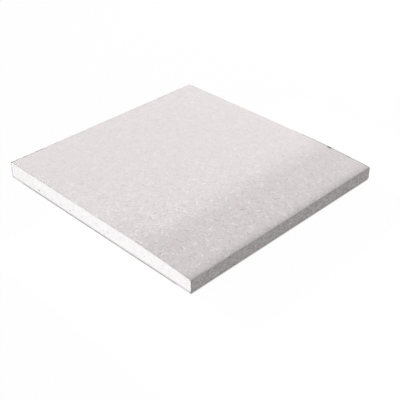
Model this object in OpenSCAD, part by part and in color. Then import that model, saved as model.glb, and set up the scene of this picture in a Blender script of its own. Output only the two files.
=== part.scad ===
// Drywall sheet: a gypsum core bound in paper, with one tapered and one square edge.
// X runs across the sheet between its bound edges, Y along it between its cut ends, Z up.
// It lies on its back paper, with the origin under the middle of the sheet.

/* [Sheet] */
// Width across the sheet, between its paper-bound edges
sheet_width = 180; // [140:1:1350]
// Length along the sheet, between its cut ends
sheet_length = 175; // [40:1:3600]
// Thickness of the sheet, papers included, away from its taper
sheet_thickness = 12.5; // [9.5:0.5:25]

/* [Tapered edge] */
// How far the taper reaches in from the bound edge
taper_width = 44; // [40:1:65]
// Drop of the face where the straight taper would meet the edge
taper_depth = 2.3; // [0.5:0.1:3]
// Length of the soft bend on each side of the taper's start
taper_bend = 10; // [2:1:18]
// How far in from the edge the nose turns down
nose_width = 4; // [3:0.5:10]
// Extra drop of the nose below the straight taper
nose_drop = 0.3; // [0.1:0.05:0.8]
// Length of the soft bend on each side of the nose's start
nose_bend = 3; // [1:0.5:6]

/* [Papers] */
// Thickness of the face paper
face_paper_thickness = 0.4; // [0.2:0.05:0.8]
// Thickness of the back paper
back_paper_thickness = 0.4; // [0.2:0.05:0.8]
// Inside radius of the folds that carry the face paper round the edges
fold_radius = 0.5; // [0.3:0.1:1.5]
// Width of the face paper that is folded under the back, from each edge
flap_width = 25; // [20:1:35]
// Strip of each flap that the back paper leaves bare, from each edge
flap_margin = 12; // [5:1:16]

/* [Hidden] */

// Straight segments in each rounded corner of the section
corner_steps = 8;

left_edge = -sheet_width / 2;
right_edge = sheet_width / 2;
taper_start = right_edge - taper_width;
nose_start = right_edge - nose_width;
nose_height = sheet_thickness - taper_depth * (1 - nose_width / taper_width);
arris_height = sheet_thickness - taper_depth - nose_drop;

taper_slope = atan2(taper_depth, taper_width);
nose_slope = atan2(nose_height - arris_height, nose_width);
fold_outer_radius = fold_radius + face_paper_thickness;
taper_radius = taper_bend / tan(taper_slope / 2);
// The nose's bend ends where the fold at the arris begins
arris_reach = fold_outer_radius * tan((90 - nose_slope) / 2);
nose_reach = min(nose_bend, nose_width - arris_reach);
nose_radius = nose_reach / tan((nose_slope - taper_slope) / 2);

// Corners of the section that the face paper wraps, anticlockwise, each with its outer radius
wrap_corners = [
    [[left_edge, back_paper_thickness], fold_outer_radius],
    [[right_edge, back_paper_thickness], fold_outer_radius],
    [[right_edge, arris_height], fold_outer_radius],
    [[nose_start, nose_height], nose_radius],
    [[taper_start, sheet_thickness], taper_radius],
    [[left_edge, sheet_thickness], fold_outer_radius],
];

// Outward unit normal of the straight line from a to b
function outward(a, b) = [b.y - a.y, a.x - b.x] / norm(b - a);

// Arc that rounds one corner, moved inwards along its own radii by inset
function rounded_corner(index, inset) = let (
    count = len(wrap_corners),
    corner = wrap_corners[index][0],
    radius = wrap_corners[index][1],
    normal_in = outward(wrap_corners[(index + count - 1) % count][0], corner),
    normal_out = outward(corner, wrap_corners[(index + 1) % count][0]),
    centre = corner - radius * (normal_in + normal_out) / (1 + normal_in * normal_out),
    start = atan2(normal_in.y, normal_in.x),
    turn = acos(normal_in * normal_out)
) [
    for (step = [0:corner_steps])
        let (angle = start + turn * step / corner_steps)
            centre + (radius - inset) * [cos(angle), sin(angle)]
];

// Rounded section of the sheet above its back paper, moved inwards by inset
module wrap_section(inset) {
    polygon([
        for (index = [0:len(wrap_corners) - 1])
            each rounded_corner(index, inset)
    ]);
}

// Strip between the two flaps, where the core reaches down to the back paper
module between_flaps() {
    translate([left_edge + flap_width, back_paper_thickness])
        square([sheet_width - 2 * flap_width, sheet_thickness / 2]);
}

// Carries a section, drawn with Z as its height, along the whole sheet
module along_sheet() {
    translate([0, sheet_length / 2, 0])
        rotate([90, 0, 0])
            linear_extrude(sheet_length)
                children();
}

// White gypsum core, cast inside the papers and bare at the cut ends
module gypsum_core() {
    color([0.95, 0.94, 0.92])
        along_sheet() {
            wrap_section(face_paper_thickness);
            between_flaps();
        }
}

// Light grey paper over the face, down the taper, round both edges and under the back as two flaps
module face_paper() {
    color([0.84, 0.82, 0.81])
        along_sheet()
            difference() {
                wrap_section(0);
                wrap_section(face_paper_thickness);
                between_flaps();
            }
}

// Darker grey liner over the back, lapped on the two flaps
module back_paper() {
    color([0.60, 0.57, 0.54])
        along_sheet()
            translate([left_edge + flap_margin, 0])
                square([sheet_width - 2 * flap_margin, back_paper_thickness]);
}

gypsum_core();
face_paper();
back_paper();
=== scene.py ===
import math

import bpy
import numpy as np
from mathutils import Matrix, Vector


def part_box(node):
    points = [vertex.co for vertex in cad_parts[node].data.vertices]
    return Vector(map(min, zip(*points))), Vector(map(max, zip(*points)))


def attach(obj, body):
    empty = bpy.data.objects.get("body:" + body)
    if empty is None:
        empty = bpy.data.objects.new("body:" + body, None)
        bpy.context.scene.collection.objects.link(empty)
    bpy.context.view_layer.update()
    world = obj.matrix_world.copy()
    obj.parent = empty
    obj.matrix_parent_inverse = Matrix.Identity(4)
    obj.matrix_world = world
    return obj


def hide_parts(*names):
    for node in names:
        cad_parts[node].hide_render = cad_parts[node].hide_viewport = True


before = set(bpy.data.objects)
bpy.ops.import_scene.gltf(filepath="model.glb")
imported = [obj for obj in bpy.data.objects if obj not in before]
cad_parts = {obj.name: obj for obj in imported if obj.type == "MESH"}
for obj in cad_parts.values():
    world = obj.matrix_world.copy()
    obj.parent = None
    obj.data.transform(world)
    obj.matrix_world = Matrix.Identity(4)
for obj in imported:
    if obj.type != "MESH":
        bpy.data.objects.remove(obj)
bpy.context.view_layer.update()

# Gypsum core
# Foamed gypsum slurry that set in one piece between the papers, so its sides are as smooth as they are.
# The saw left its two ends bare: flat and chalky, with open air bubbles and small chips beside the paper.
MM = 0.001

paper_low, paper_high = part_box("face_paper")
core_low, core_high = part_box("gypsum_core")
left_edge = paper_low.x
right_edge = paper_high.x
near_end = paper_low.y
far_end = paper_high.y
wrap_foot = paper_low.z
face_height = paper_high.z
paper_thickness = core_low.x - left_edge

TAPER_WIDTH = 44 * MM
TAPER_DEPTH = 2.3 * MM
TAPER_BEND = 10 * MM
NOSE_WIDTH = 4 * MM
NOSE_DROP = 0.3 * MM
NOSE_BEND = 3 * MM
FOLD_RADIUS = 0.5 * MM
FLAP_WIDTH = 25 * MM
CORNER_STEPS = 8

taper_start = right_edge - TAPER_WIDTH
nose_start = right_edge - NOSE_WIDTH
nose_height = face_height - TAPER_DEPTH * (1 - NOSE_WIDTH / TAPER_WIDTH)
arris_height = face_height - TAPER_DEPTH - NOSE_DROP
taper_slope = math.atan2(TAPER_DEPTH, TAPER_WIDTH)
nose_slope = math.atan2(nose_height - arris_height, NOSE_WIDTH)
fold_outer_radius = FOLD_RADIUS + paper_thickness
taper_radius = TAPER_BEND / math.tan(taper_slope / 2)
nose_radius = NOSE_BEND / math.tan((nose_slope - taper_slope) / 2)

# Corners of the wrapped section in X and Z, anticlockwise from the foot of the square edge
corner_points = np.array([
    (left_edge, wrap_foot),
    (right_edge, wrap_foot),
    (right_edge, arris_height),
    (nose_start, nose_height),
    (taper_start, face_height),
    (left_edge, face_height),
])
corner_radii = [fold_outer_radius] * 3 + [nose_radius, taper_radius, fold_outer_radius]
corner_count = len(corner_points)


def corner_arc(index, inset):
    """Arc that rounds one corner: its centre is the corner less r (n1 + n2) / (1 + n1 . n2),
    where n1 and n2 are the outward normals on its two sides, and its radius is r less the inset."""
    corner = corner_points[index]
    next_corner = corner_points[(index + 1) % corner_count]
    sides = np.array([corner - corner_points[index - 1], next_corner - corner])
    normals = np.stack([sides[:, 1], -sides[:, 0]], 1) / np.linalg.norm(sides, axis=1)[:, None]
    cosine = normals[0] @ normals[1]
    centre = corner - corner_radii[index] * normals.sum(0) / (1 + cosine)
    start = math.atan2(normals[0, 1], normals[0, 0])
    angles = start + np.linspace(0, math.acos(cosine), CORNER_STEPS + 1)
    return centre + (corner_radii[index] - inset) * np.stack([np.cos(angles), np.sin(angles)], 1)


LATTICE = 256


def soft_noise(u, v, cell, seed):
    """Smooth heights from -1 to 1: seeded random values at the corners of a square lattice, which
    repeats after LATTICE cells, blended across each cell by 3 t^2 - 2 t^3 both ways."""
    lattice = np.random.default_rng(seed).uniform(-1, 1, (LATTICE, LATTICE))
    column = np.floor(u / cell).astype(int)
    row = np.floor(v / cell).astype(int)
    s = u / cell - column
    t = v / cell - row
    s = s * s * (3 - 2 * s)
    t = t * t * (3 - 2 * t)

    def corner(columns_on, rows_on):
        return lattice[(column + columns_on) % LATTICE, (row + rows_on) % LATTICE]

    lower = corner(0, 0) * (1 - s) + corner(1, 0) * s
    upper = corner(0, 1) * (1 - s) + corner(1, 1) * s
    return lower * (1 - t) + upper * t


def noise_sum(u, v, waves, seed):
    """Sum of soft noises: each wave has its own height and cell, and the seed goes up by one for each."""
    return sum(height * soft_noise(u, v, cell, seed + number) for number, (height, cell) in enumerate(waves))


def grid_quads(index):
    """Quads between the neighbours in a grid of point numbers, wound along its first axis first."""
    corners = [index[:-1, :-1], index[1:, :-1], index[1:, 1:], index[:-1, 1:]]
    return np.stack(corners, -1).reshape(-1, 4)


def add_object(name, data):
    """A new object in the scene, at the origin."""
    made = bpy.data.objects.new(name, data)
    bpy.context.scene.collection.objects.link(made)
    return made


def add_piece(name, points, quads, sharp_angle):
    """A smooth mesh object, with an edge kept sharp where it turns by more than the angle in degrees."""
    mesh = bpy.data.meshes.new(name)
    mesh.from_pydata(points.tolist(), [], quads.tolist())
    mesh.shade_smooth()
    mesh.set_sharp_from_angle(angle=math.radians(sharp_angle))
    return add_object(name, mesh)


SAWN_STEP = 0.24 * MM
FLAP_STEP = 0.01 * MM
SAWN_SHARP_ANGLE = 55
NEAR_SEED = 11
FAR_SEED = 23
# Roughness that the saw left: height and cell of each wave
SAW_WAVES = ((0.035 * MM, 2.6 * MM), (0.025 * MM, 0.7 * MM))
# Small bubbles: their number, the height of the lowest above the foot, the two shape values of the beta
# distribution of their heights, and the median, spread and limits of their lognormal radii in millimetres
BUBBLES = 320
BUBBLE_FOOT = 1.1 * MM
BUBBLE_HEIGHTS = (1.2, 1.9)
BUBBLE_MEDIAN = 0.21
BUBBLE_SPREAD = 0.42
BUBBLE_LIMITS = (0.1, 0.5)
# Chips along the top of the cut: their number and the limits of their radii in millimetres
CHIPS = 40
CHIP_LIMITS = (0.15, 0.4)
# Large bubbles that the cut at the near end laid open: X, Z and radius
NEAR_BUBBLES = np.array([
    (-76, 5.0, 0.50),
    (-64.5, 4.5, 0.40),
    (-58, 3.5, 0.80),
    (-34, 3.5, 0.45),
    (-23.5, 3.5, 0.65),
    (-13.5, 3.0, 0.50),
    (15, 5.5, 0.50),
    (19, 6.5, 0.35),
    (58.5, 3.5, 0.45),
    (62, 4.0, 0.40),
]) * MM

# The first two corners are at the foot, and the others run back over the top
core_arcs = [corner_arc(index, paper_thickness) for index in range(corner_count)]
core_foot = np.concatenate(core_arcs[:2])
core_top = np.concatenate(core_arcs[2:])[::-1]
core_height = core_high.z - core_low.z
flap_ends = np.array([left_edge + FLAP_WIDTH, right_edge - FLAP_WIDTH])
sawn_columns = np.unique(np.concatenate([
    np.linspace(core_low.x, core_high.x, round((core_high.x - core_low.x) / SAWN_STEP)),
    core_foot[:, 0].clip(core_low.x, core_high.x),
    core_top[:, 0].clip(core_low.x, core_high.x),
    flap_ends - FLAP_STEP,
    flap_ends + FLAP_STEP,
]))
sawn_rows = np.linspace(0, 1, round(core_height / SAWN_STEP))
between_flaps = (sawn_columns > flap_ends[0]) & (sawn_columns < flap_ends[1])
column_foot = np.interp(sawn_columns, core_foot[:, 0], core_foot[:, 1])
column_foot = np.where(between_flaps, core_low.z, column_foot)
column_top = np.interp(sawn_columns, core_top[:, 0], core_top[:, 1])


def sawn_end(seed, large_bubbles):
    """Points of one end and how deep each lies: the column (x) and the share of its height (t) give
    x and z = foot(x) + t (top(x) - foot(x)). The depth is the larger of the saw's roughness and
    sqrt(r^2 - d^2) at a distance d from the middle of each bubble or chip of radius r."""
    x, t = np.meshgrid(sawn_columns, sawn_rows, indexing="ij")
    z = column_foot[:, None] + t * (column_top - column_foot)[:, None]
    depth = noise_sum(x, z, SAW_WAVES, seed)
    draw = np.random.default_rng(seed + len(SAW_WAVES))
    bubble_x = draw.uniform(core_low.x, core_high.x, BUBBLES)
    bubble_rise = draw.beta(*BUBBLE_HEIGHTS, BUBBLES)
    bubble_z = core_low.z + BUBBLE_FOOT + (core_height - BUBBLE_FOOT) * bubble_rise
    bubble_r = np.clip(draw.lognormal(math.log(BUBBLE_MEDIAN), BUBBLE_SPREAD, BUBBLES), *BUBBLE_LIMITS) * MM
    chip_x = draw.uniform(core_low.x, core_high.x, CHIPS)
    chip_z = np.interp(chip_x, sawn_columns, column_top)
    chip_r = draw.uniform(*CHIP_LIMITS, CHIPS) * MM
    bubbles = np.stack([bubble_x, bubble_z, bubble_r], 1)
    chips = np.stack([chip_x, chip_z, chip_r], 1)
    for hollow_x, hollow_z, radius in np.concatenate([large_bubbles, bubbles, chips]):
        inside = np.clip(1 - ((x - hollow_x) ** 2 + (z - hollow_z) ** 2) / radius ** 2, 0, None)
        depth = np.maximum(depth, radius * np.sqrt(inside))
    return x, z, depth


near_x, near_z, near_depth = sawn_end(NEAR_SEED, NEAR_BUBBLES)
far_x, far_z, far_depth = sawn_end(FAR_SEED, NEAR_BUBBLES[:0])
core_points = np.concatenate([
    np.stack([near_x, near_end + near_depth, near_z], -1).reshape(-1, 3),
    np.stack([far_x, far_end - far_depth, far_z], -1).reshape(-1, 3),
])
near_index = np.arange(near_x.size).reshape(near_x.shape)
far_index = near_index + near_index.size
near_rim = np.concatenate([
    near_index[:-1, 0],
    near_index[-1, :-1],
    near_index[:0:-1, -1],
    near_index[0, :0:-1],
])
far_rim = near_rim + near_index.size
core_quads = np.concatenate([
    grid_quads(near_index),
    grid_quads(far_index)[:, ::-1],
    np.stack([near_rim, far_rim, np.roll(far_rim, -1), np.roll(near_rim, -1)], 1),
])
core = add_piece("gypsum_core_sawn", core_points, core_quads, SAWN_SHARP_ANGLE)
end_depth = np.concatenate([near_depth.ravel(), far_depth.ravel()]) / MM
core.data.attributes.new("depth", "FLOAT", "POINT").data.foreach_set("value", end_depth)


STREAK_SHIFT = (37, 23)


class Shade:
    """A shader value in Python sums: each operator adds a Math node, and node() adds any other."""

    def __init__(self, tree, socket=None):
        self.tree = tree
        self.socket = socket

    def node(self, kind, settings, sockets, output=0):
        """One output of a new node, whose settings come first and then its sockets' values or links."""
        made = self.tree.nodes.new(kind)
        for setting, value in settings.items():
            setattr(made, setting, value)
        for name, value in sockets.items():
            if isinstance(value, Shade):
                self.tree.links.new(value.socket, made.inputs[name])
            else:
                made.inputs[name].default_value = value
        return Shade(self.tree, made.outputs[output])

    def math(self, operation, first, second):
        return self.node("ShaderNodeMath", {"operation": operation}, {0: first, 1: second})

    def __add__(self, other):
        return self.math("ADD", self, other)

    __radd__ = __add__

    def __sub__(self, other):
        return self.math("SUBTRACT", self, other)

    def __rsub__(self, other):
        return self.math("SUBTRACT", other, self)

    def __mul__(self, other):
        return self.math("MULTIPLY", self, other)

    __rmul__ = __mul__

    def __abs__(self):
        return self.math("ABSOLUTE", self, 0.0)

    def larger(self, other):
        return self.math("MAXIMUM", self, other)

    def axis(self, name):
        return self.node("ShaderNodeSeparateXYZ", {}, {0: self}, name)

    def attribute(self, name):
        """The piece's own attribute of that name."""
        return self.node("ShaderNodeAttribute", {"attribute_name": name}, {}, "Fac")

    def ramp(self, low, high):
        """0 below low, 1 above high, and smooth between; low may be the larger."""
        settings = {"interpolation_type": "SMOOTHSTEP"}
        return self.node("ShaderNodeMapRange", settings, {"Value": self, "From Min": low, "From Max": high})

    def noise(self, size, detail, roughness):
        """Noise of about 0 to 1, with features of that size in the units of this vector."""
        return self.node("ShaderNodeTexNoise", {}, {
            "Vector": self,
            "Scale": 1 / size,
            "Detail": detail,
            "Roughness": roughness,
        })

    def bent(self, size, amount):
        """This place, pushed about by noise of that size, so that patterns on it curl."""
        push = self.node("ShaderNodeTexNoise", {}, {
            "Vector": self,
            "Scale": 1 / size,
            "Detail": 1.0,
        }, "Color")
        return self.node("ShaderNodeVectorMath", {"operation": "MULTIPLY_ADD"}, {
            0: push,
            1: (amount, amount, amount),
            2: self,
        })

    def streaks(self, turn, length, width):
        """Noise of about 0 to 1, drawn out along a line that is turned about Z by that angle in radians.
        The angle also moves the pattern, so that no two turns cross in one place."""
        drawn = self.node("ShaderNodeMapping", {"vector_type": "TEXTURE"}, {
            "Vector": self,
            "Location": (STREAK_SHIFT[0] * turn, STREAK_SHIFT[1] * turn, 0),
            "Rotation": (0, 0, turn),
            "Scale": (length, width, width),
        })
        return drawn.noise(1.0, detail=1.0, roughness=0.4)

    def mix(self, first, second):
        """The first colour, with this value as the share of the second."""
        return self.node("ShaderNodeMix", {"data_type": "RGBA"}, {0: self, 6: first, 7: second}, 2)

    def into(self, shader, name):
        self.tree.links.new(self.socket, shader.inputs[name])


def start_material(name):
    """A new material, its shader, and the place on the object in millimetres."""
    material = bpy.data.materials.new(name)
    material.use_nodes = True
    tree = material.node_tree
    place = Shade(tree).node("ShaderNodeTexCoord", {}, {}, "Object")
    scaled = place.node("ShaderNodeVectorMath", {"operation": "SCALE"}, {0: place, "Scale": 1 / MM})
    return material, tree.nodes["Principled BSDF"], scaled


def set_sockets(shader, values):
    """Sets the sockets that are the same all over the surface."""
    for name, value in values.items():
        shader.inputs[name].default_value = value


def add_bump(shader, height):
    """Relief from a height in millimetres."""
    bump = height.node("ShaderNodeBump", {}, {"Strength": 1.0, "Distance": MM, "Height": height})
    bump.into(shader, "Normal")


GYPSUM_WHITE = (0.90, 0.872, 0.882, 1)
GYPSUM_SHADE = (0.83, 0.80, 0.805, 1)
GYPSUM_HOLLOW_SHADE = (0.58, 0.555, 0.555, 1)
GYPSUM_FOOT_SHADE = (0.48, 0.46, 0.455, 1)
# In the materials, lengths are in millimetres, and a pair of numbers gives where a change begins and is full
CLOUD_SIZE = 3.5
CLOUD_SPAN = (0.35, 0.75)
POWDER_SIZE = 0.35
POWDER_HEIGHT = 0.02
# Painted shade in the bubbles: the depths at which it begins and is full
HOLLOW_SHADE_DEPTH = (0.1, 0.6)
# The foot of the cut is painted darker: painted contact shade where it meets the floor
SAWN_FOOT_SHADE_HEIGHT = (2.4, 0.3)
SAWN_FOOT_SHADE_STRENGTH = 0.75

gypsum, gypsum_shader, place = start_material("sawn_gypsum")
cloud = place.noise(CLOUD_SIZE, detail=3.0, roughness=0.6)
powder = place.noise(POWDER_SIZE, detail=3.0, roughness=0.65)
sawn_white = cloud.ramp(*CLOUD_SPAN).mix(GYPSUM_WHITE, GYPSUM_SHADE)
# Deeper bubbles are painted grey: painted shade in the hollows
sawn_white = place.attribute("depth").ramp(*HOLLOW_SHADE_DEPTH).mix(sawn_white, GYPSUM_HOLLOW_SHADE)
# Painted contact shade darkens the cut towards its foot
sawn_foot_shade = SAWN_FOOT_SHADE_STRENGTH * place.axis("Z").ramp(*SAWN_FOOT_SHADE_HEIGHT)
sawn_foot_shade.mix(sawn_white, GYPSUM_FOOT_SHADE).into(gypsum_shader, "Base Color")
set_sockets(gypsum_shader, {"Roughness": 0.95, "Specular IOR Level": 0.2})
add_bump(gypsum_shader, POWDER_HEIGHT * powder)
core.data.materials.append(gypsum)
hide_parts("gypsum_core")
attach(core, "root")

# Face paper
# One sheet of light grey multi-ply paper that carries the slurry through the forming line: it covers the
# face, runs down the taper, is creased round both edges and ends under the back as two flaps.
PATH_STEP = 0.8 * MM
ROW_STEP = 2.0 * MM
PAPER_SHARP_ANGLE = 40
# Rows that stand closer together at a cut end, by their distance from it
END_ROWS = np.array([0, 0.12, 0.3, 0.6, 1.0, 1.6]) * MM
# Shares of the thickness, from the outside in, at which the plies show at a cut edge
PLY_SHARES = (0, 0.2, 0.6, 1)
# Each wave of the fray and of the cockle has a share and a cell
FRAY = 0.09 * MM
FRAY_REACH = 0.25 * MM
FRAY_WAVES = ((1.0, 0.9 * MM), (0.6, 2.3 * MM))
FRAY_SEED = 31
COCKLE = 0.02 * MM
COCKLE_WAVES = ((1.0, 23 * MM), (0.5, 9 * MM))
COCKLE_SEED = 33


def wrap_path(inset):
    """The paper's way round the section, anticlockwise: the end of the right flap, the rounded corners
    from the foot of the tapered edge to that of the square edge, and the end of the left flap."""
    order = [*range(1, corner_count), 0]
    flap_height = wrap_foot + inset
    return np.concatenate([
        [(flap_ends[1], flap_height)],
        *[corner_arc(index, inset) for index in order],
        [(flap_ends[0], flap_height)],
    ])


outer_path = wrap_path(0)
inner_path = wrap_path(paper_thickness)
stretch_lengths = np.linalg.norm(np.diff(outer_path, axis=0), axis=1)
stretch_counts = np.maximum(np.ceil(stretch_lengths / PATH_STEP).astype(int), 1)
path_places = np.concatenate([
    *[number + np.arange(count) / count for number, count in enumerate(stretch_counts)],
    [len(stretch_counts)],
])


def along_path(path):
    """The path at its chosen places, each given as a point's number and a share of the way to the next."""
    numbers = np.arange(len(path))
    return np.stack([np.interp(path_places, numbers, path[:, axis]) for axis in (0, 1)], 1)


outer = along_path(outer_path)
inner = along_path(inner_path)
outward = (outer - inner) / np.linalg.norm(outer - inner, axis=1)[:, None]
path_run = np.concatenate([[0], np.cumsum(np.linalg.norm(np.diff(outer, axis=0), axis=1))])
row_count = round((far_end - near_end) / ROW_STEP)
rows = np.concatenate([
    near_end + END_ROWS[:-1],
    np.linspace(near_end + END_ROWS[-1], far_end - END_ROWS[-1], row_count),
    (far_end - END_ROWS[:-1])[::-1],
])


def frayed(y, fray):
    """Y, moved out or in at the two cut ends by FRAY times the fray, which dies away from each end
    as exp(-distance / FRAY_REACH)."""
    at_near = np.exp(-(y - near_end) / FRAY_REACH)
    at_far = np.exp(-(far_end - y) / FRAY_REACH)
    return y + FRAY * fray * (at_far - at_near)


def paper_layer(share):
    """One layer of the paper, at that share of its thickness from the outside: the path is carried along
    the sheet, frayed a little at the two cut ends and cockled by less than a tenth of its thickness."""
    section = outer + share * (inner - outer)
    run, y = np.meshgrid(path_run, rows, indexing="ij")
    lift = COCKLE * (1 - share) * noise_sum(run, y, COCKLE_WAVES, COCKLE_SEED)
    x = section[:, 0, None] + outward[:, 0, None] * lift
    z = section[:, 1, None] + outward[:, 1, None] * lift
    return np.stack([x, frayed(y, noise_sum(run, y, FRAY_WAVES, FRAY_SEED)), z], -1)


def layer_skin(layers):
    """The closed skin of a stack of like grids: its first and last grids, and the four strips between their
    edges. Gives the numbers of the points that the skin uses, and its quads among those points."""
    index = np.arange(layers[..., 0].size).reshape(layers.shape[:3])
    quads = np.concatenate([
        grid_quads(index[0])[:, ::-1],
        grid_quads(index[-1]),
        grid_quads(index[:, :, 0])[:, ::-1],
        grid_quads(index[:, :, -1]),
        grid_quads(index[:, 0, :]),
        grid_quads(index[:, -1, :])[:, ::-1],
    ])
    used, renumbered = np.unique(quads, return_inverse=True)
    return used, renumbered.reshape(quads.shape)


layers = np.stack([paper_layer(share) for share in PLY_SHARES])
used, quads = layer_skin(layers)
face_paper = add_piece("face_paper_wrap", layers.reshape(-1, 3)[used], quads, PAPER_SHARP_ANGLE)
inner_ply = (used >= len(path_run) * len(rows)).astype(float)
face_paper.data.attributes.new("inner_ply", "FLOAT", "POINT").data.foreach_set("value", inner_ply)

PAPER_LIGHT = (0.80, 0.752, 0.751, 1)
PAPER_DARK = (0.64, 0.600, 0.600, 1)
PAPER_TONE = 0.53
FORMATION_SIZE = 7.0
FORMATION_STRENGTH = 0.15
FLECK_SIZE = 2.0
FLECK_STRENGTH = 0.3
PATCH_SPAN = (0.3, 0.7)
PULP_SIZE = 2.6
PULP_HEIGHT = 0.08
CURL_SIZE = 1.6
CURL_PUSH = 1.4
# The grain is coarser towards the tapered edge and the near end, by X less a share of Y
LEAST_GRAIN = 0.4
GRAIN_SPAN = (-30, 115)
GRAIN_Y_SHARE = 0.6
# Fibres lie in bundles of about this length and width, bent by noise and turned by these angles in radians
FIBRE_LIGHT = (0.95, 0.90, 0.90, 1)
FIBRE_DARK = (0.50, 0.465, 0.465, 1)
FIBRE_LENGTH = 5.0
FIBRE_WIDTH = 1.2
FIBRE_BEND_SIZE = 5.0
FIBRE_BEND = 2.5
FIBRE_PEAKS = (0.66, 0.72)
LIGHT_TURNS = (0.3, 1.0, 1.9, 2.6)
DARK_TURNS = (0.7, 1.4, 2.2, 3.0)
LIGHT_FIBRE_STRENGTH = 0.52
DARK_FIBRE_STRENGTH = 0.55
FIBRE_HEIGHT = 0.03
# Painted shade greys the near margin beside the taper: from a Y to the near end, and between two X
FRONT_SHADE_Y = (-56, -84)
FRONT_SHADE_FROM_X = (2, 30)
FRONT_SHADE_TO_X = (88, 55)
FRONT_SHADE_STRENGTH = 0.22
# The folds begin this far in from the sides; the bound edges and flap rims get painted shade and grime
EDGE_SHADE_LIGHT = (0.62, 0.585, 0.58, 1)
EDGE_SHADE_DARK = (0.23, 0.215, 0.21, 1)
FOLD_REACH = (1.8, 1.2)
EDGE_REACH = (0.3, 0.05)
FLAP_RIM_HEIGHT = (2.0, 1.3)
# Size and strength of the grime's broad and fine patches, and how much painted shade darkens the foot
GRIME_PATCHES = ((3.6, 0.5), (1.3, 2.0))
PAPER_FOOT_SHADE_HEIGHT = (2.5, 0.5)
PAPER_FOOT_SHADE_STRENGTH = 0.3
# Scuffs on the far cut edge: X, length and reach in from the end
SCUFF = (0.04, 0.035, 0.035, 1)
FAR_SCUFFS = ((24, 1.6, 0.25), (55, 3.0, 1.3), (71.5, 2.4, 0.6))
SCUFF_FADE = 0.3
MARK_BLUR = (0.5, -0.3)
# Both cut edges are rubbed, the far one from an X on: the reach in from the end, and the grime that shows
FAR_RUBBED_X = (26, 30)
FAR_RUBBED_REACH = (0.9, 0.4)
FAR_RUBBED_GRIME = (0.1, 0.5)
FAR_RUBBED_STRENGTH = 0.62
NEAR_RUBBED_REACH = (1.2, 0.5)
NEAR_RUBBED_GRIME = (0.2, 0.6)
NEAR_RUBBED_STRENGTH = 0.14
# The upper fold at the square edge is darker grey from a Y to the near end, with dark marks at Y and length
SQUARE_SIDE_X = (0, -1)
UPPER_FOLD_HEIGHT = (10, 11)
FOLD_GREY_Y = (-56, -64)
FOLD_GREY_GRIME = (0.3, 0.6)
FOLD_GREY_STRENGTH = 0.55
FOLD_MARKS = ((-87, 1.6), (-61.5, 1.4))
FOLD_MARK_STRENGTH = 0.7
# Colours of the plies that show at a cut edge: along the sheet, and at the folds
PLY_GREY = (0.68, 0.652, 0.65, 1)
PLY_DARK = (0.20, 0.185, 0.18, 1)

half_width = right_edge / MM
half_length = far_end / MM


def fibres(place, turns):
    """Where thin fibres show: noise drawn out along each of the turns, with only its peaks kept."""
    threads = place.bent(FIBRE_BEND_SIZE, FIBRE_BEND)
    return sum(threads.streaks(turn, FIBRE_LENGTH, FIBRE_WIDTH).ramp(*FIBRE_PEAKS) for turn in turns)


def mark(line, middle, length):
    """1 along a mark of that length on a line, and 0 past it, blurred at both its ends."""
    return abs(line - middle).ramp(length / 2 + MARK_BLUR[0], length / 2 + MARK_BLUR[1])


paper, paper_shader, place = start_material("face_paper_fibre")
across = place.axis("X")
along = place.axis("Y")
up = place.axis("Z")
from_side = half_width - abs(across)
from_near = half_length + along
from_far = half_length - along
curl = place.bent(CURL_SIZE, CURL_PUSH)
formation = place.noise(FORMATION_SIZE, detail=3.0, roughness=0.6)
fleck = curl.noise(FLECK_SIZE, detail=2.0, roughness=0.5)
pulp = curl.noise(PULP_SIZE, detail=1.0, roughness=0.5)
light_fibre = fibres(place, LIGHT_TURNS)
dark_fibre = fibres(place, DARK_TURNS)
grain = LEAST_GRAIN + (1 - LEAST_GRAIN) * (across - GRAIN_Y_SHARE * along).ramp(*GRAIN_SPAN)
# Painted shade over the near margin beside the taper
front_shade = along.ramp(*FRONT_SHADE_Y) * across.ramp(*FRONT_SHADE_FROM_X) * across.ramp(*FRONT_SHADE_TO_X)
tone = PAPER_TONE + FLECK_STRENGTH * grain * (fleck.ramp(*PATCH_SPAN) - 0.5)
tone = tone + FORMATION_STRENGTH * (formation.ramp(*PATCH_SPAN) - 0.5)
tone = tone + FRONT_SHADE_STRENGTH * front_shade
sheet_colour = tone.mix(PAPER_LIGHT, PAPER_DARK)
sheet_colour = (DARK_FIBRE_STRENGTH * grain * dark_fibre).mix(sheet_colour, FIBRE_DARK)
sheet_colour = (LIGHT_FIBRE_STRENGTH * grain * light_fibre).mix(sheet_colour, FIBRE_LIGHT)
fold = from_side.ramp(*FOLD_REACH)
edge = from_side.ramp(*EDGE_REACH).larger(fold * up.ramp(*FLAP_RIM_HEIGHT))
grime = 0.5 + sum(
    strength * (place.noise(size, detail=2.0, roughness=0.6) - 0.5)
    for size, strength in GRIME_PATCHES)
# Painted shade on the bound edges and flap rims, mottled by grime and darker towards the foot
edge_grime_and_shade = grime + PAPER_FOOT_SHADE_STRENGTH * up.ramp(*PAPER_FOOT_SHADE_HEIGHT)
sheet_colour = edge.mix(sheet_colour, edge_grime_and_shade.mix(EDGE_SHADE_LIGHT, EDGE_SHADE_DARK))
scuffed = sum(
    mark(across, x, length) * from_far.ramp(reach + SCUFF_FADE, reach)
    for x, length, reach in FAR_SCUFFS)
far_rubbed = across.ramp(*FAR_RUBBED_X) * from_far.ramp(*FAR_RUBBED_REACH) * grime.ramp(*FAR_RUBBED_GRIME)
near_rubbed = from_near.ramp(*NEAR_RUBBED_REACH) * grime.ramp(*NEAR_RUBBED_GRIME)
scuffed = scuffed.larger(FAR_RUBBED_STRENGTH * far_rubbed).larger(NEAR_RUBBED_STRENGTH * near_rubbed)
fold_greyed = FOLD_GREY_STRENGTH * along.ramp(*FOLD_GREY_Y) * grime.ramp(*FOLD_GREY_GRIME)
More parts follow.
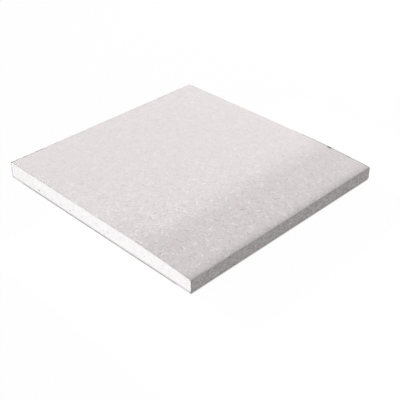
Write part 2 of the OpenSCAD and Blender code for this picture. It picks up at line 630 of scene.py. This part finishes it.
fold_marked = FOLD_MARK_STRENGTH * sum(mark(along, y, length) for y, length in FOLD_MARKS)
upper_square_fold = fold * across.ramp(*SQUARE_SIDE_X) * up.ramp(*UPPER_FOLD_HEIGHT)
scuffed = scuffed + upper_square_fold * fold_greyed.larger(fold_marked)
sheet_colour = scuffed.mix(sheet_colour, SCUFF)
ply_colour = fold.mix(PLY_GREY, PLY_DARK)
place.attribute("inner_ply").mix(sheet_colour, ply_colour).into(paper_shader, "Base Color")
set_sockets(paper_shader, {"Roughness": 0.9, "Specular IOR Level": 0.25})
add_bump(paper_shader, grain * (PULP_HEIGHT * pulp + FIBRE_HEIGHT * light_fibre))
face_paper.data.materials.append(paper)
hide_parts("face_paper")
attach(face_paper, "root")

# Back paper
# A plain recycled liner, greyer than the face paper, that closes the back of the wet sheet.
# It is glued over the two flaps, stops short of both edges and touches the floor.
LINER_STEP = 1.5 * MM
LINER_SHARES = (0, 0.3, 0.7, 1)
LINER_FRAY_CELL = 1.1 * MM
LINER_FRAY_SEED = 41

liner_low, liner_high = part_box("back_paper")
liner_x = np.linspace(liner_low.x, liner_high.x, round((liner_high.x - liner_low.x) / LINER_STEP))


def liner_layer(share):
    """One level of the liner, at that share of its thickness from the floor: a flat grid whose cut ends
    are frayed along the sheet."""
    x, y = np.meshgrid(liner_x, rows, indexing="ij")
    height = liner_low.z + share * (liner_high.z - liner_low.z)
    fray = soft_noise(x, y, LINER_FRAY_CELL, LINER_FRAY_SEED)
    return np.stack([x, frayed(y, fray), np.full_like(x, height)], -1)


layers = np.stack([liner_layer(share) for share in LINER_SHARES])
used, quads = layer_skin(layers)
back_paper = add_piece("back_paper_liner", layers.reshape(-1, 3)[used], quads, PAPER_SHARP_ANGLE)

LINER_LIGHT = (0.34, 0.315, 0.285, 1)
LINER_DARK = (0.24, 0.22, 0.20, 1)
LINER_CLOUD_SIZE = 11.0
LINER_CLOUD_SPAN = (0.25, 0.75)
LINER_PULP_SIZE = 1.6
LINER_PULP_HEIGHT = 0.03
LINER_FIBRE_LIGHT = (0.52, 0.49, 0.45, 1)
LINER_FIBRE_DARK = (0.12, 0.11, 0.10, 1)
LINER_LIGHT_STRENGTH = 0.3
LINER_DARK_STRENGTH = 0.35
LINER_FIBRE_HEIGHT = 0.02
# The cut shows dark at both ends: partly a dirty cut, partly painted contact shade along the foot
LINER_CUT_DIRT_AND_SHADE = (0.135, 0.125, 0.12, 1)
LINER_CUT_SHADE_REACH = (0.4, 0.2)

liner, liner_shader, place = start_material("back_liner")
cloud = place.noise(LINER_CLOUD_SIZE, detail=5.0, roughness=0.65)
pulp = place.noise(LINER_PULP_SIZE, detail=2.0, roughness=0.5)
light_fibre = fibres(place, LIGHT_TURNS)
dark_fibre = fibres(place, DARK_TURNS)
liner_colour = cloud.ramp(*LINER_CLOUD_SPAN).mix(LINER_LIGHT, LINER_DARK)
liner_colour = (LINER_DARK_STRENGTH * dark_fibre).mix(liner_colour, LINER_FIBRE_DARK)
liner_colour = (LINER_LIGHT_STRENGTH * light_fibre).mix(liner_colour, LINER_FIBRE_LIGHT)
from_end = half_length - abs(place.axis("Y"))
# Painted shade and dirt darken the liner's cut at both ends
from_end.ramp(*LINER_CUT_SHADE_REACH).mix(liner_colour, LINER_CUT_DIRT_AND_SHADE).into(liner_shader, "Base Color")
set_sockets(liner_shader, {"Roughness": 0.92, "Specular IOR Level": 0.25})
add_bump(liner_shader, LINER_PULP_HEIGHT * pulp + LINER_FIBRE_HEIGHT * light_fibre)
back_paper.data.materials.append(liner)
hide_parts("back_paper")
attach(back_paper, "root")

# Studio
# A white light table just under the sheet, open to view from below, in a white room. A low strip light
# of narrow spread skims the face from the square edge's side, clear of that edge, and two soft lights
# reach the cut ends.
TABLE_HALF = 4.0
TABLE_DROP = 0.05 * MM
TABLE_GLOW = 0.97
TABLE_WHITE = (0.04, 0.04, 0.04, 1)
# The table's glow is dimmed under the sheet's rim as a painted contact shadow, and its light comes back
# between these distances past the outline: outwards, and further in under the sheet
GLOW_WHITE = (1, 1, 1, 1)
GLOW_CONTACT_SHADOW = (0.30, 0.30, 0.30, 1)
OUTSIDE_REACH = (-1.0, 0.5)
UNDER_REACH = (-1.0, -2.0)

table_mesh = bpy.data.meshes.new("light_table")
table_corners = [
    (x * TABLE_HALF, y * TABLE_HALF, -TABLE_DROP)
    for x, y in ((-1, -1), (1, -1), (1, 1), (-1, 1))]
table_mesh.from_pydata(table_corners, [], [(0, 1, 2, 3)])
table = add_object("light_table", table_mesh)
table_white, table_shader, place = start_material("table_white")
set_sockets(table_shader, {
    "Base Color": TABLE_WHITE,
    "Roughness": 1.0,
    "Specular IOR Level": 0.0,
    "Emission Strength": TABLE_GLOW,
})
past_side = abs(place.axis("X")) - half_width
past_end = abs(place.axis("Y")) - half_length
past_outline = past_side.larger(past_end)
# Painted contact shadow: the table's glow is dimmed along and under the sheet's outline
unshadowed = past_outline.ramp(*OUTSIDE_REACH).larger(past_outline.ramp(*UNDER_REACH))
unshadowed.mix(GLOW_CONTACT_SHADOW, GLOW_WHITE).into(table_shader, "Emission Color")
underside = place.node("ShaderNodeNewGeometry", {}, {}, "Backfacing")
nothing = place.node("ShaderNodeBsdfTransparent", {}, {})
table_top = Shade(table_white.node_tree, table_shader.outputs[0])
one_sided = place.node("ShaderNodeMixShader", {}, {0: underside, 1: table_top, 2: nothing})
one_sided.into(table_white.node_tree.nodes["Material Output"], "Surface")
table_mesh.materials.append(table_white)


def toward(azimuth, elevation):
    """Unit vector away from the sheet: the azimuth turns from the near end towards the tapered edge."""
    level = math.cos(elevation)
    return Vector((level * math.sin(azimuth), -level * math.cos(azimuth), math.sin(elevation)))


def add_light(name, kind, source, direction, **settings):
    """A light at source that shines along direction."""
    light = bpy.data.lights.new(name, kind)
    for setting, value in settings.items():
        setattr(light, setting, value)
    holder = add_object(name, light)
    holder.location = source
    holder.rotation_euler = direction.to_track_quat("-Z", "Y").to_euler()
    holder.visible_camera = False


STRIP_IRRADIANCE = 7.7
STRIP_ELEVATION = math.radians(10.9)
STRIP_SPREAD = math.radians(5)
STRIP_LENGTH = 0.30
STRIP_HEIGHT = 0.055
STRIP_GAP = 6 * MM
STRIP_MARGIN = 0.9 * MM
FRONT_STRENGTH = 1.2
FRONT_AZIMUTH = math.radians(-22)
FRONT_ELEVATION = math.radians(10)
FRONT_SPREAD = math.radians(20)
BACK_POWER = 0.55
BACK_PLACE = Vector((-0.10, 0.45, 0.20))
BACK_SIZE = 0.4

strip_beam = Vector((math.cos(STRIP_ELEVATION), 0, -math.sin(STRIP_ELEVATION)))
strip_up = Vector((math.sin(STRIP_ELEVATION), 0, math.cos(STRIP_ELEVATION)))
strip_foot = Vector((left_edge + STRIP_MARGIN, 0, face_height)) - STRIP_GAP * strip_beam
add_light(
    "skimming_strip", "AREA", strip_foot + STRIP_HEIGHT / 2 * strip_up, strip_beam,
    shape="RECTANGLE", size=STRIP_LENGTH, size_y=STRIP_HEIGHT, spread=STRIP_SPREAD,
    energy=STRIP_IRRADIANCE * STRIP_LENGTH * STRIP_HEIGHT)
front_place = toward(FRONT_AZIMUTH, FRONT_ELEVATION)
add_light("front_light", "SUN", front_place, -front_place, energy=FRONT_STRENGTH, angle=FRONT_SPREAD)
add_light("back_light", "AREA", BACK_PLACE, -BACK_PLACE, energy=BACK_POWER, size=BACK_SIZE)

# The room looks white to the camera, and lights the sheet by this much of that
ROOM_GLOW = 0.45

world = bpy.data.worlds.new("room")
world.use_nodes = True
bpy.context.scene.world = world
room_light = world.node_tree.nodes["Background"]
set_sockets(room_light, {"Color": (1, 1, 1, 1)})
seen = Shade(world.node_tree).node("ShaderNodeLightPath", {}, {}, "Is Camera Ray")
(ROOM_GLOW + (1 - ROOM_GLOW) * seen).into(room_light, "Strength")
bpy.context.scene.view_settings.view_transform = "Standard"

# Camera
# It looks down on the front corner between the cut end and the tapered edge, as the photograph does.
PHOTO_WIDTH = 400
FOCAL_PIXELS = 819.2
SENSOR_WIDTH = 36
VIEW_AZIMUTH = math.radians(44.93)
VIEW_ELEVATION = math.radians(33.87)
VIEW_DISTANCE = 0.54395
VIEW_TARGET = Vector((0.03126, -0.02148, 0.00653))

camera_data = bpy.data.cameras.new("camera")
camera_data.sensor_width = SENSOR_WIDTH
camera_data.lens = FOCAL_PIXELS / PHOTO_WIDTH * SENSOR_WIDTH
camera = add_object("camera", camera_data)
view_direction = toward(VIEW_AZIMUTH, VIEW_ELEVATION)
camera.location = VIEW_TARGET + VIEW_DISTANCE * view_direction
camera.rotation_euler = (-view_direction).to_track_quat("-Z", "Y").to_euler()
bpy.context.scene.camera = camera
